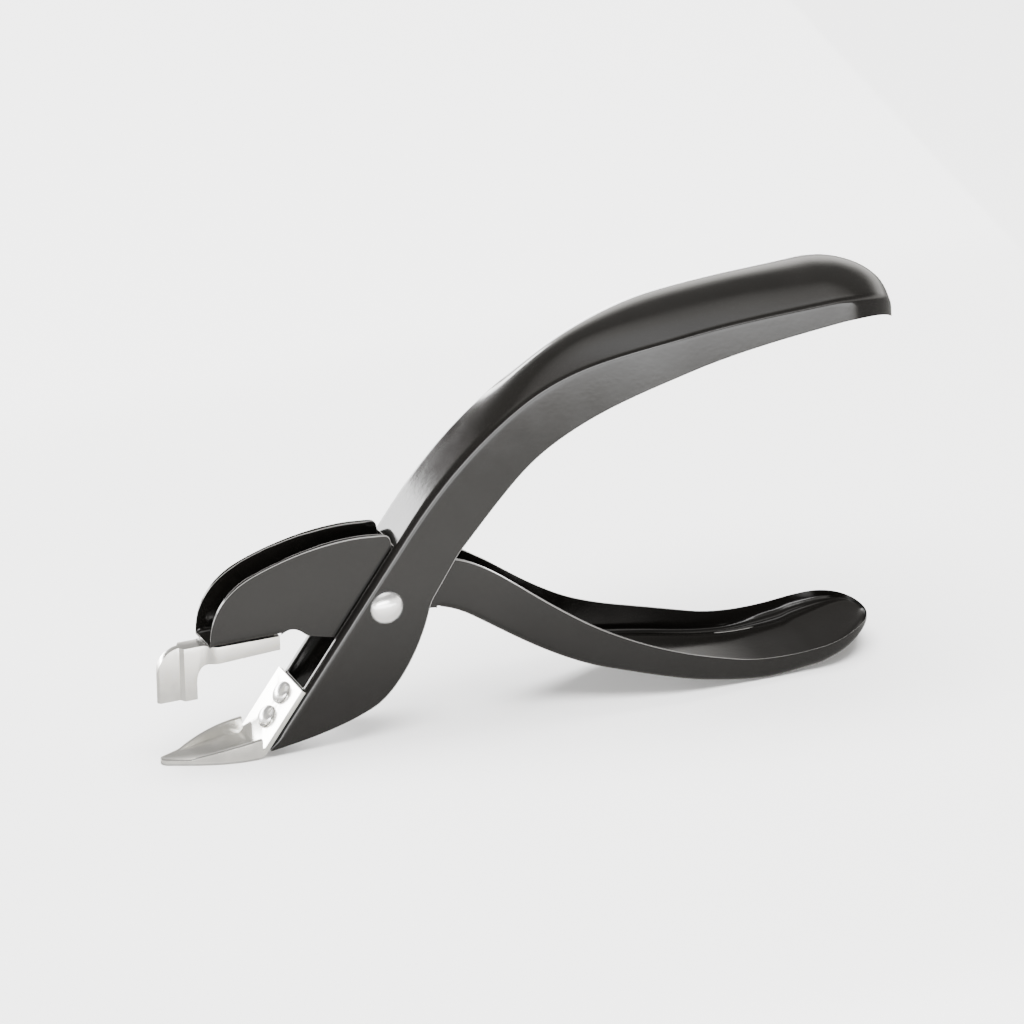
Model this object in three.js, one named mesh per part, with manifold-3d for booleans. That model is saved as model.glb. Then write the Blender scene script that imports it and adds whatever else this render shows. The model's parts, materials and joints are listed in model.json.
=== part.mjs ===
// Plier-type staple remover: two pressed steel channels on one rivet, a tongue
// that slides under the staple and a presser that bends the staple's crown down.
// Millimetres, +Z up. The tool lies along X with its jaws towards -X and stands
// on the underside of the tongue and of the lower handle, at Z = 0.

import * as THREE from 'three';
import { mergeVertices } from 'three/addons/utils/BufferGeometryUtils.js';
import Module from 'manifold-3d';

const wasm = await Module();
wasm.setup();

// ---------------------------------------------------------------- dimensions

// Side views are drawn in (x, z) with x measured from the pivot and z from the
// surface that the tool stands on. The whole tool is then moved by SHIFT_X, so
// that the origin is under the middle of its length.
const TOOL_FRONT = -54.3;
const TOOL_REAR = 128.5;
const SHIFT_X = -(TOOL_FRONT + TOOL_REAR) / 2;
const PIVOT_Z = 32.65;

const FRAME_WALL = 1.3;             // sheet of the upper handle and lower jaw
const FRAME_WIDTH = 15.1;
const FRAME_HANDLE_WIDTH = 27;
const FRAME_FLARE = [34, 74];       // x where the channel widens to the handle
const FRAME_END_RADIUS = 15;
const CROWN_RISE = 3.2;             // rise of the rounded back over its edges
const CROWN_BUILD = [20, 50];       // x where the crown rises
const CROWN_EASE = [90, 124];       // x where it flattens towards the end
const CROWN_EASE_SHARE = 0.25;
const CROWN_LEAST = 0.12;           // rise at which it leaves the flat web
const CROWN_STEP = 0.06;            // its edge, in from the bend
const CROWN_SUNK = 0.6;             // depth of its underside below the edge

const JAW_ANGLE = THREE.MathUtils.degToRad(53.5);   // slope of the frame's jaw
const WEB_OFFSET = 5.8;             // web's outer face, off the pivot axis
const SLOT_FROM = -26.2;            // opening in the web, along the jaw slope
const SLOT_TO = 13;
const SLOT_WIDTH = 10.7;

const LEVER_WALL = 1.2;             // sheet of the lower handle and upper jaw
const LEVER_WIDTH = 9.7;
const LEVER_HANDLE_WIDTH = 29.5;
const LEVER_FLARE = [26, 76];
const LEVER_END_START = 104.5;
const LEVER_REAR = 119.6;
const JAW_FLOOR = 29;               // underside of the jaw's floor
const OPEN_BOTTOM = 15;             // below the open part of the floor
const FLOOR_REAR_START = 14;        // where the handle's floor begins
const FLOOR_FRONT_END = -25.4;      // where the jaw's floor ends

const PIN_RADIUS = 2.4;
const PIN_HEAD_RADIUS = 4.05;
const PIN_HEAD_RISE = 2;
const PIN_FOOT_RADIUS = 3.6;
const PIN_FOOT_RISE = 1.5;
const BORE_PLAY = 0.1;
const BUSH_RADIUS = 3;
const WASHER_RADIUS = 4.2;

const WIRE_RADIUS = 0.6;
const COIL_RADIUS = 3.85;
const COIL_HALF_LENGTH = 2.7;
const COIL_TURNS = 4;
const LEG_STEP = 4.4;               // spacing of points along the upper leg
const LEG_RISE = 0.26;              // slope of the lower leg, then of its end
const LEG_FALL = -0.41;

const TONGUE_SHEET = 1.2;
const TONGUE_TIP = -53.9;
const TONGUE_HALF_WIDTH = 7.45;
const HEEL_RADIUS = 2.2;            // outside radius of the bend at the heel
const PLATE_TOP = -26.6;            // top of the riveted plate, along the slope
const EDGE_START = -50;             // upturned edges, from the tip rearwards
const EDGE_END = -31.4;
const EDGE_RISE = 3.6;

const PRESSER_SHEET = 1.2;
const PRESSER_TOP = JAW_FLOOR - 0.1;
const PRESSER_REAR = -25.3;
const PRESSER_BOTTOM = 15.6;
const TOOTH_REAR = -45.1;
const TOOTH_TOP = 24.8;
const ARM_HALF_WIDTH = 4.6;
const TOOTH_HALF_WIDTH = 2.2;
const FIN_HALF_WIDTH = 0.9;         // sheet folded flat on itself at the front
const FIN_START = -48.6;

const RIVET_SHANK = 1.5;
const TONGUE_RIVET_RADIUS = 2.75;
const TONGUE_RIVET_RISE = 1.5;
const TONGUE_RIVET_FOOT = 2.3;
const TONGUE_RIVET_FOOT_RISE = 0.9;
const TONGUE_RIVETS = [-30.4, -37]; // along the jaw slope
const PRESSER_RIVET_RADIUS = 2.2;
const PRESSER_RIVET_RISE = 1;
const PRESSER_RIVET_FOOT = 2;
const PRESSER_RIVET_FOOT_RISE = 0.8;
const PRESSER_RIVETS = [-37.4, -29.2];

const GAP = 0.05;                   // play left where two pieces lie together
const TALL = 200;                   // longer than the tool, for cutting solids
const WIDE = 60;                    // wider than the tool
const AHEAD = -60;                  // ahead of the tool's front

// ------------------------------------------------------------------ finishes

const blackPaint = () =>
  new THREE.MeshStandardMaterial({ color: 0x2a2827, roughness: 0.32, metalness: 0.25 });
const brightPlate = () =>
  new THREE.MeshStandardMaterial({ color: 0xd9d8d2, roughness: 0.25, metalness: 0.95 });
const rivetSteel = () =>
  new THREE.MeshStandardMaterial({ color: 0xe4e3e0, roughness: 0.3, metalness: 0.9 });
const springSteel = () =>
  new THREE.MeshStandardMaterial({ color: 0x6b6a68, roughness: 0.4, metalness: 0.9 });

// ------------------------------------------------------------- solid helpers

function solid(geometry) {
  const bare = geometry.clone();
  bare.deleteAttribute('normal');
  bare.deleteAttribute('uv');
  const merged = mergeVertices(bare, 1e-4);
  return new wasm.Manifold(new wasm.Mesh({
    numProp: 3,
    vertProperties: new Float32Array(merged.attributes.position.array),
    triVerts: new Uint32Array(merged.index.array),
  }));
}

function geometryOf(body) {
  const mesh = body.getMesh();
  const geometry = new THREE.BufferGeometry();
  geometry.setAttribute('position', new THREE.BufferAttribute(mesh.vertProperties, 3));
  geometry.setIndex(new THREE.BufferAttribute(mesh.triVerts, 1));
  const flat = geometry.toNonIndexed();
  flat.computeVertexNormals();
  return flat;
}

// A side view in (x, z), thick in Y and centred on the tool's middle plane.
function sideSolid(shape, width, segments = 10) {
  const options = { depth: width, bevelEnabled: false, curveSegments: segments };
  const geometry = new THREE.ExtrudeGeometry(shape, options);
  geometry.translate(0, 0, -width / 2);
  geometry.rotateX(Math.PI / 2);
  return solid(geometry);
}

// A plan view in (x, y), as tall as is needed to cut anything on the tool.
function planSolid(shape, bottom = -TALL / 2, height = TALL) {
  const options = { depth: height, bevelEnabled: false, curveSegments: 10 };
  const geometry = new THREE.ExtrudeGeometry(shape, options);
  geometry.translate(0, 0, bottom);
  return solid(geometry);
}

// A closed body through rings with the same number of points each.
function loft(rings) {
  const count = rings[0].length;
  const points = rings.flat().flatMap((p) => [p.x, p.y, p.z]);
  const faces = [];
  for (let i = 0; i + 1 < rings.length; i++) {
    for (let j = 0; j < count; j++) {
      const a = i * count + j;
      const b = i * count + (j + 1) % count;
      faces.push(a, a + count, b, b, a + count, b + count);
    }
  }
  const last = (rings.length - 1) * count;
  for (let j = 1; j + 1 < count; j++) {
    faces.push(0, j, j + 1);
    faces.push(last, last + j + 1, last + j);
  }
  const geometry = new THREE.BufferGeometry();
  geometry.setAttribute('position', new THREE.Float32BufferAttribute(points, 3));
  geometry.setIndex(faces);
  return solid(geometry);
}

function cylinderY(radius, width, x, z, y = 0, sides = 40) {
  const geometry = new THREE.CylinderGeometry(radius, radius, width, sides);
  geometry.translate(x, y, z);
  return solid(geometry);
}

// A rivet standing on Z = 0: a domed head above, a shank and a formed head below.
function rivetGeometry({ head, rise, shank, grip, foot, footRise, sides = 24 }) {
  const profile = [new THREE.Vector2(0, -grip - footRise)];
  const dome = (radius, height, base, sign) => {
    const steps = 5;
    const points = [];
    for (let i = 0; i <= steps; i++) {
      const turn = (i / steps) * Math.PI / 2;
      points.push(new THREE.Vector2(radius * Math.sin(turn), base + sign * height * Math.cos(turn)));
    }
    return points;
  };
  profile.push(...dome(foot, footRise, -grip, -1).slice(1));
  profile.push(new THREE.Vector2(shank, -grip));
  profile.push(new THREE.Vector2(shank, 0));
  profile.push(...dome(head, rise, 0, 1).reverse());
  return new THREE.LatheGeometry(profile, sides);
}

const smooth = (x, [from, to]) => THREE.MathUtils.smoothstep(x, from, to);

// ------------------------------------------------------------- jaw slope grid

// A point given along the frame's jaw slope and square to it, from the pivot.
function onSlope(along, out) {
  return new THREE.Vector2(
    along * Math.cos(JAW_ANGLE) - out * Math.sin(JAW_ANGLE),
    PIVOT_Z + along * Math.sin(JAW_ANGLE) + out * Math.cos(JAW_ANGLE),
  );
}

// ------------------------------------------------------------- frame channel

const HANDLE_TOP = new THREE.Vector2(112, 92.4);
const KNEE = 18;                    // end of the straight jaw, along the slope
const REACH = 71;
const BOW = new THREE.Vector2(72, 91);

// The edge of the web: straight up the jaw, then bowed over the handle. With a
// depth it gives the same line that much deeper in the channel.
function webLine(shape, depth) {
  const foot = onSlope(-42.4, WEB_OFFSET - depth);
  const knee = onSlope(KNEE, WEB_OFFSET - depth);
  const reach = onSlope(REACH, WEB_OFFSET - depth);
  shape.moveTo(foot.x, foot.y);
  shape.lineTo(knee.x, knee.y);
  shape.bezierCurveTo(reach.x, reach.y, BOW.x, BOW.y - depth, HANDLE_TOP.x, HANDLE_TOP.y - depth);
}

function frameSide() {
  const shape = new THREE.Shape();
  webLine(shape, 0);
  shape.bezierCurveTo(122.5, HANDLE_TOP.y, TOOL_REAR, 89.6, TOOL_REAR, 80.6);
  shape.lineTo(TOOL_REAR - 1, 79.8);
  shape.bezierCurveTo(125.5, 84.5, 121, 86.2, 113, 86);
  shape.bezierCurveTo(85, 83.4, 66, 81, 46, 68.7);
  shape.bezierCurveTo(35, 62, 31, 57, 18.2, 42.8);
  shape.lineTo(10.9, 31.6);
  shape.bezierCurveTo(9, 22, 2, 10, -4.5, 7.6);
  shape.bezierCurveTo(-12, 4.2, -22, 2.6, -29.9, 1.6);
  shape.closePath();
  return shape;
}

// Everything inside the bend, open at the free edges of the two side walls.
function frameInside() {
  const shape = new THREE.Shape();
  webLine(shape, FRAME_WALL);
  const rear = TOOL_REAR - FRAME_WALL;
  shape.bezierCurveTo(122, HANDLE_TOP.y - FRAME_WALL, rear, 88.7, rear, 79);
  shape.lineTo(rear, -10);
  shape.lineTo(-40, -10);
  shape.closePath();
  return shape;
}

const frameWidthAt = (x) =>
  FRAME_WIDTH + (FRAME_HANDLE_WIDTH - FRAME_WIDTH) * smooth(x, FRAME_FLARE);

// Plan view of a channel that widens to a handle with a round end.
function channelPlan(front, endStart, rear, widthAt, inset) {
  const shape = new THREE.Shape();
  const steps = 18;
  const side = [];
  for (let i = 0; i <= steps; i++) {
    const x = THREE.MathUtils.lerp(20, endStart, i / steps);
    side.push([x, widthAt(x) / 2 - inset]);
  }
  const half = widthAt(endStart) / 2 - inset;
  shape.moveTo(front, -side[0][1]);
  side.forEach(([x, y]) => shape.lineTo(x, -y));
  shape.absellipse(endStart, 0, rear - inset - endStart, half, -Math.PI / 2, Math.PI / 2, false, 0);
  side.reverse().forEach(([x, y]) => shape.lineTo(x, y));
  shape.lineTo(front, side[side.length - 1][1]);
  shape.closePath();
  return shape;
}

// The rounded back of the upper handle: an arch over the web's two edges.
function crown(inset) {
  const curve = new THREE.CubicBezierCurve(
    onSlope(KNEE, WEB_OFFSET - inset),
    onSlope(REACH, WEB_OFFSET - inset),
    new THREE.Vector2(BOW.x, BOW.y - inset),
    new THREE.Vector2(HANDLE_TOP.x, HANDLE_TOP.y - inset),
  );
  const endStart = TOOL_REAR - FRAME_END_RADIUS;
  const end = new THREE.CubicBezierCurve(
    new THREE.Vector2(HANDLE_TOP.x, HANDLE_TOP.y - inset),
    new THREE.Vector2(121.5, HANDLE_TOP.y - inset),
    new THREE.Vector2(TOOL_REAR - 1.8 - inset, 90.6 - inset),
    new THREE.Vector2(TOOL_REAR - 1.45 - inset, 84),
  );
  const stations = [];
  curve.getPoints(24).forEach((p, i) => stations.push([p, curve.getTangent(i / 24)]));
  end.getPoints(8).slice(1).forEach((p, i) => stations.push([p, end.getTangent((i + 1) / 8)]));
  const arch = 12;
  const rings = [];
  for (const [point, tangent] of stations) {
    const build = CROWN_RISE * smooth(point.x, CROWN_BUILD);
    const rise = build * (1 - CROWN_EASE_SHARE * smooth(point.x, CROWN_EASE));
    if (rise < CROWN_LEAST) continue;
    const past = Math.min(Math.max(point.x - endStart, 0) / (FRAME_END_RADIUS - inset), 0.999);
    const half = (frameWidthAt(point.x) / 2 - inset - CROWN_STEP) * Math.sqrt(1 - past * past);
    const lift = rise * (1 - 0.5 * past);
    const ring = [];
    for (let j = 0; j <= arch; j++) {
      const u = -Math.cos((j / arch) * Math.PI);
      const h = lift * Math.sqrt(1 - u * u * 0.999);
      ring.push(new THREE.Vector3(point.x - tangent.y * h, u * half, point.y + tangent.x * h));
    }
    const under = (y) => new THREE.Vector3(
      point.x + tangent.y * CROWN_SUNK, y, point.y - tangent.x * CROWN_SUNK);
    ring.push(under(half * 0.9), under(-half * 0.9));
    rings.push(ring);
  }
  return loft(rings);
}

function frameChannel() {
  const endStart = TOOL_REAR - FRAME_END_RADIUS;
  const plan = (front, inset) =>
    planSolid(channelPlan(front, endStart, TOOL_REAR, frameWidthAt, inset));
  const outside = sideSolid(frameSide(), WIDE).intersect(plan(AHEAD, 0)).add(crown(0));
  const inside = sideSolid(frameInside(), WIDE)
    .intersect(plan(AHEAD - 1, FRAME_WALL)).add(crown(FRAME_WALL));
  const slot = new THREE.Shape();
  [onSlope(SLOT_FROM, 12), onSlope(SLOT_FROM, 0), onSlope(SLOT_TO, 0), onSlope(SLOT_TO, 12)]
    .forEach((p, i) => (i ? slot.lineTo(p.x, p.y) : slot.moveTo(p.x, p.y)));
  slot.closePath();
  const bore = cylinderY(PIN_RADIUS + BORE_PLAY, WIDE, 0, PIVOT_Z);
  let body = outside.subtract(inside).subtract(sideSolid(slot, SLOT_WIDTH)).subtract(bore);
  for (const along of TONGUE_RIVETS) {
    body = body.subtract(slopeBore(along, RIVET_SHANK + BORE_PLAY));
  }
  return body;
}

// A hole through the jaw's web, square to the slope.
function slopeBore(along, radius) {
  const geometry = new THREE.CylinderGeometry(radius, radius, 8, 24);
  placeOnSlope(geometry, along, WEB_OFFSET);
  return solid(geometry);
}

// Turns a shape that stands along +Y so that it stands square on the jaw slope.
function placeOnSlope(geometry, along, out) {
  const point = onSlope(along, out);
  geometry.rotateX(Math.PI / 2);
  geometry.rotateY(-JAW_ANGLE);
  geometry.translate(point.x, 0, point.y);
}

// ------------------------------------------------------------- lever channel

// Outline of the lower handle and upper jaw, clockwise from the jaw's front.
function leverSide() {
  const shape = new THREE.Shape();
  shape.moveTo(-42.6, JAW_FLOOR);
  shape.bezierCurveTo(-42.6, 37, -38.5, 42.6, -31.5, 45.3);
  shape.bezierCurveTo(-22.5, 48.8, -12.5, 50.6, -4, 50.1);
  shape.lineTo(1.2, 49.6);
  shape.quadraticCurveTo(2.5, 49.3, 2.6, 48);
  shape.lineTo(2.7, 45.4);
  shape.bezierCurveTo(8, 43, 12, 42, 17.5, 40.4);
  shape.bezierCurveTo(26.5, 37.8, 33, 30, 45.7, 21.6);
  shape.bezierCurveTo(57, 13.8, 73, 9.2, 84, 6.2);
  shape.bezierCurveTo(93, 4.2, 103, 5.2, 109.5, 6.4);
  shape.bezierCurveTo(114, 7.4, 117.5, 7.6, LEVER_REAR, 7);
  shape.lineTo(LEVER_REAR, 6.2);
  shape.bezierCurveTo(116, 5.6, 112.5, 0, 92, 0);
  shape.bezierCurveTo(80, 0.2, 66, 4.6, 53, 7.8);
  shape.bezierCurveTo(41, 11, 31, 18.6, 23.3, 24);
  shape.bezierCurveTo(19, 27.2, 15.5, 28.4, 11.5, 29.2);
  shape.bezierCurveTo(8.5, 29.4, 6, 24.8, -2, 24.8);
  shape.bezierCurveTo(-8, 24.9, -14, 26.9, -18.7, 27.8);
  shape.quadraticCurveTo(-22, 31.6, FLOOR_FRONT_END, JAW_FLOOR);
  shape.closePath();
  return shape;
}

// Space between the side walls: above the jaw's floor, right through at the
// pivot, and above the handle's floor.
function leverInside() {
  const t = LEVER_WALL;
  const shape = new THREE.Shape();
  shape.moveTo(AHEAD, JAW_FLOOR + t);
  shape.lineTo(AHEAD, WIDE);
  shape.lineTo(LEVER_REAR - t, WIDE);
  shape.lineTo(LEVER_REAR - t, 6.6 + t);
  shape.bezierCurveTo(115.5, 6.2 + t, 111.5, t, 92, t);
  shape.bezierCurveTo(80, 0.3 + t, 66, 4.6 + t, 53.3, 7.8 + t);
  shape.bezierCurveTo(41.5, 11.2 + t, 31.7, 18.8 + t, 24, 24.1 + t);
  shape.bezierCurveTo(20, 27.2 + t, 17, 28 + t, FLOOR_REAR_START, 28.7 + t);
  shape.lineTo(FLOOR_REAR_START, OPEN_BOTTOM);
  shape.lineTo(FLOOR_FRONT_END, OPEN_BOTTOM);
  shape.lineTo(FLOOR_FRONT_END, JAW_FLOOR + t);
  shape.closePath();
  return shape;
}

const leverWidthAt = (x) =>
  LEVER_WIDTH + (LEVER_HANDLE_WIDTH - LEVER_WIDTH) * smooth(x, LEVER_FLARE);

function leverChannel() {
  const plan = (front, inset) =>
    planSolid(channelPlan(front, LEVER_END_START, LEVER_REAR, leverWidthAt, inset));
  const outside = sideSolid(leverSide(), WIDE).intersect(plan(AHEAD, 0));
  const inside = sideSolid(leverInside(), WIDE).intersect(plan(AHEAD - 1, LEVER_WALL));
  let body = outside.subtract(inside)
    .subtract(cylinderY(PIN_RADIUS + BORE_PLAY, WIDE, 0, PIVOT_Z));
  for (const x of PRESSER_RIVETS) {
    body = body.subtract(floorBore(x));
  }
  return body;
}

// A hole down through the jaw's floor and the presser under it.
function floorBore(x) {
  const geometry = new THREE.CylinderGeometry(RIVET_SHANK + BORE_PLAY, RIVET_SHANK + BORE_PLAY, 8, 24);
  geometry.rotateX(Math.PI / 2);
  geometry.translate(x, 0, PRESSER_TOP);
  return solid(geometry);
}

// -------------------------------------------------------------- tongue blade

function tonguePlan(inset) {
  const w = TONGUE_HALF_WIDTH - inset;
  const tip = 1.9 - inset * 0.6;
  const shape = new THREE.Shape();
  shape.moveTo(-24, -w);
  shape.lineTo(-24, w);
  shape.lineTo(-34, w);
  shape.bezierCurveTo(-40.5, w - 0.1, -46, 4.9 - inset, TONGUE_TIP + 1.7, tip);
  shape.quadraticCurveTo(TONGUE_TIP + 0.1, tip * 0.8, TONGUE_TIP, 0);
  shape.quadraticCurveTo(TONGUE_TIP + 0.1, -tip * 0.8, TONGUE_TIP + 1.7, -tip);
  shape.bezierCurveTo(-46, -4.9 + inset, -40.5, -w + 0.1, -34, -w);
  shape.closePath();
  return shape;
}

// The bent strip seen from the side: flat on the surface, round the heel and up
// the front of the frame's jaw.
function tongueSide() {
  const t = TONGUE_SHEET;
  const inner = WEB_OFFSET + GAP;
  const top = onSlope(PLATE_TOP, inner);
  const topOut = onSlope(PLATE_TOP, inner + t);
  const corner = new THREE.Vector2(
    -(PIVOT_Z / Math.tan(JAW_ANGLE)) - inner / Math.sin(JAW_ANGLE), 0);
  const cornerIn = new THREE.Vector2(
    corner.x - t * Math.tan(JAW_ANGLE / 2), t);
  const along = new THREE.Vector2(Math.cos(JAW_ANGLE), Math.sin(JAW_ANGLE));
  const r = HEEL_RADIUS;
  const shape = new THREE.Shape();
  shape.moveTo(TONGUE_TIP - 1, 0);
  shape.lineTo(corner.x - r, 0);
  shape.quadraticCurveTo(corner.x, 0, corner.x + along.x * r, along.y * r);
  shape.lineTo(top.x, top.y);
  shape.lineTo(topOut.x, topOut.y);
  shape.lineTo(cornerIn.x + along.x * 1, cornerIn.y + along.y * 1);
  shape.quadraticCurveTo(cornerIn.x, cornerIn.y, cornerIn.x - 1, t);
  shape.lineTo(TONGUE_TIP - 1, t);
  shape.closePath();
  return shape;
}

// Upturned edges: a wall along the outline, low at the tip, cut off at the heel.
function tongueEdges() {
  const shape = new THREE.Shape();
  shape.moveTo(EDGE_START, TONGUE_SHEET / 2);
  shape.quadraticCurveTo(-42, TONGUE_SHEET + EDGE_RISE * 0.62, EDGE_END, TONGUE_SHEET + EDGE_RISE);
  shape.lineTo(EDGE_END, TONGUE_SHEET / 2);
  shape.closePath();
  const rim = planSolid(tonguePlan(0)).subtract(planSolid(tonguePlan(TONGUE_SHEET)));
  return sideSolid(shape, WIDE).intersect(rim);
}

function tongueBlade() {
  let body = sideSolid(tongueSide(), WIDE).intersect(planSolid(tonguePlan(0)).add(platePrism()));
  body = body.add(tongueEdges());
  for (const along of TONGUE_RIVETS) {
    body = body.subtract(slopeBore(along, RIVET_SHANK + BORE_PLAY));
  }
  return body;
}

// The riveted plate is as wide as the heel all the way up.
function platePrism() {
  const shape = new THREE.Shape();
  shape.moveTo(-32, -TONGUE_HALF_WIDTH);
  shape.lineTo(-10, -TONGUE_HALF_WIDTH);
  shape.lineTo(-10, TONGUE_HALF_WIDTH);
  shape.lineTo(-32, TONGUE_HALF_WIDTH);
  shape.closePath();
  return planSolid(shape);
}

// ------------------------------------------------------------------- presser

// Side view: a low arm under the jaw's floor and a deep tooth at its front.
function presserSide(inset) {
  const top = PRESSER_TOP - inset;
  const front = TOOL_FRONT + inset;
  const bottom = inset ? 0 : PRESSER_BOTTOM;
  const shape = new THREE.Shape();
  if (inset) {
    shape.moveTo(-20, top);
  } else {
    shape.moveTo(PRESSER_REAR, top);
  }
  shape.lineTo(FIN_START, top);
  shape.bezierCurveTo(-52, top - 0.2, front, top - 3, front, 22.5);
  shape.lineTo(front, bottom);
  if (inset) {
    shape.lineTo(-20, bottom);
  } else {
    shape.lineTo(TOOTH_REAR, PRESSER_BOTTOM + 0.1);
    shape.lineTo(TOOTH_REAR, TOOTH_TOP - 5);
    shape.quadraticCurveTo(TOOTH_REAR, TOOTH_TOP - 0.1, TOOTH_REAR + 5.2, TOOTH_TOP);
    shape.lineTo(PRESSER_REAR, 25.5);
  }
  shape.closePath();
  return shape;
}

// Plan view: two arms that draw in to a narrow tooth, then to a thin fin where
// the sheet is folded flat on itself round the nose.
function presserPlan(inset) {
  const arm = ARM_HALF_WIDTH - inset;
  const tooth = TOOTH_HALF_WIDTH - inset;
  const rear = inset ? PRESSER_REAR + 5 : PRESSER_REAR;
  const nose = TOOL_FRONT + FIN_HALF_WIDTH;
  const neck = -44 + inset * 0.5;
  const shoulder = -40 + inset * 0.5;
  const shape = new THREE.Shape();
  shape.moveTo(rear, -arm);
  shape.lineTo(rear, arm);
  shape.lineTo(shoulder, arm);
  shape.bezierCurveTo(shoulder - 2, arm, neck + 2, tooth, neck, tooth);
  if (inset) {
    shape.lineTo(FIN_START + 1.6, tooth);
    shape.lineTo(FIN_START + 1.6, -tooth);
  } else {
    shape.lineTo(FIN_START + 0.5, tooth);
    shape.lineTo(FIN_START - 0.3, FIN_HALF_WIDTH);
    shape.lineTo(nose, FIN_HALF_WIDTH);
    shape.absarc(nose, 0, FIN_HALF_WIDTH, Math.PI / 2, -Math.PI / 2, false);
    shape.lineTo(FIN_START - 0.3, -FIN_HALF_WIDTH);
    shape.lineTo(FIN_START + 0.5, -tooth);
  }
  shape.lineTo(neck, -tooth);
  shape.bezierCurveTo(neck + 2, -tooth, shoulder - 2, -arm, shoulder, -arm);
  shape.closePath();
  return shape;
}

function presserBody() {
  const outside = sideSolid(presserSide(0), WIDE).intersect(planSolid(presserPlan(0)));
  const inside = sideSolid(presserSide(PRESSER_SHEET), WIDE)
    .intersect(planSolid(presserPlan(PRESSER_SHEET)));
  let body = outside.subtract(inside);
  for (const x of PRESSER_RIVETS) {
    body = body.subtract(floorBore(x));
  }
  return body;
}

// -------------------------------------------------------------- return spring

// One wire: a leg under the frame's web, the coil round the bush, and a leg
// bent over the start of the lever's floor.
class SpringWire extends THREE.Curve {
  constructor() {
    super();
        const upStart = Math.PI / 2 + JAW_ANGLE;
    const downEnd = LEG_RISE - Math.PI / 2;
    const points = [];
    const onCoil = (turn, y) => new THREE.Vector3(
      COIL_RADIUS * Math.cos(turn), y, PIVOT_Z + COIL_RADIUS * Math.sin(turn));
    const start = onCoil(upStart, COIL_HALF_LENGTH);
    const slope = new THREE.Vector3(Math.cos(JAW_ANGLE), 0, Math.sin(JAW_ANGLE));
    for (let i = 4; i >= 1; i--) {
      points.push(start.clone().addScaledVector(slope, LEG_STEP * i));
    }
    const sweep = COIL_TURNS * 2 * Math.PI + (downEnd + 2 * Math.PI - upStart);
    const steps = Math.round(sweep / (Math.PI / 8));
    for (let i = 0; i <= steps; i++) {
      const share = i / steps;
      points.push(onCoil(upStart + sweep * share, COIL_HALF_LENGTH * (1 - 2 * share)));
    }
    const finish = onCoil(downEnd, -COIL_HALF_LENGTH);
    const rise = new THREE.Vector3(Math.cos(LEG_RISE), 0, Math.sin(LEG_RISE));
    [3, 6, 9].forEach((d) => points.push(finish.clone().addScaledVector(rise, d)));
    const bend = finish.clone().addScaledVector(rise, 12);
    points.push(bend.clone().add(new THREE.Vector3(0, 0, -0.15)));
    const fall = new THREE.Vector3(Math.cos(LEG_FALL), 0, Math.sin(LEG_FALL));
    [3, 6, 9].forEach((d) => points.push(bend.clone().addScaledVector(fall, d)));
    this.curve = new THREE.CatmullRomCurve3(points, false, 'centripetal');
    this.steps = points.length;
  }

  getPoint(t, target = new THREE.Vector3()) {
    return this.curve.getPoint(t, target);
  }
}

function springGeometry() {
  const wire = new SpringWire();
  const section = new THREE.Shape();
  section.absarc(0, 0, WIRE_RADIUS, 0, 2 * Math.PI, false);
  return new THREE.ExtrudeGeometry(section, {
    steps: wire.steps,
    extrudePath: wire,
    curveSegments: 4,
    bevelEnabled: false,
  });
}

// ------------------------------------------------------------------ assembly

const tool = new THREE.Group();
tool.position.x = SHIFT_X;

function addPiece(name, shape, material) {
  const geometry = shape instanceof THREE.BufferGeometry ? shape : geometryOf(shape);
  const mesh = new THREE.Mesh(geometry, material);
  mesh.name = name;
  tool.add(mesh);
  return mesh;
}

addPiece('upper_handle_frame', frameChannel(), blackPaint());
addPiece('lower_handle_lever', leverChannel(), blackPaint());
addPiece('tongue_blade', tongueBlade(), brightPlate());
addPiece('staple_presser', presserBody(), brightPlate());

// Pivot rivet along Y, its factory head on the near side.
const frameHalf = FRAME_WIDTH / 2;
const pivotRivet = rivetGeometry({
  head: PIN_HEAD_RADIUS, rise: PIN_HEAD_RISE, shank: PIN_RADIUS,
  grip: FRAME_WIDTH + 2 * GAP, foot: PIN_FOOT_RADIUS, footRise: PIN_FOOT_RISE, sides: 32,
});
pivotRivet.translate(0, frameHalf + GAP, 0);
pivotRivet.rotateX(Math.PI);
pivotRivet.translate(0, 0, PIVOT_Z);
addPiece('pivot_rivet', pivotRivet, rivetSteel());

// The bush keeps the lever's walls apart and carries the spring's coil.
const bushHalf = LEVER_WIDTH / 2 - LEVER_WALL - GAP;
const bush = cylinderY(BUSH_RADIUS, 2 * bushHalf, 0, PIVOT_Z)
  .subtract(cylinderY(PIN_RADIUS + BORE_PLAY, WIDE, 0, PIVOT_Z));
addPiece('pivot_bush', bush, rivetSteel());

// A washer fills each gap between the lever and the frame.
const gapMiddle = (LEVER_WIDTH / 2 + frameHalf - FRAME_WALL) / 2;
const washerThickness = frameHalf - FRAME_WALL - LEVER_WIDTH / 2 - 2 * GAP;
for (const [name, side] of [['pivot_washer_near', -1], ['pivot_washer_far', 1]]) {
  const ring = cylinderY(WASHER_RADIUS, washerThickness, 0, PIVOT_Z, side * gapMiddle)
    .subtract(cylinderY(PIN_RADIUS + BORE_PLAY, WIDE, 0, PIVOT_Z));
  addPiece(name, ring, rivetSteel());
}

addPiece('return_spring', springGeometry(), springSteel());

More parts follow.
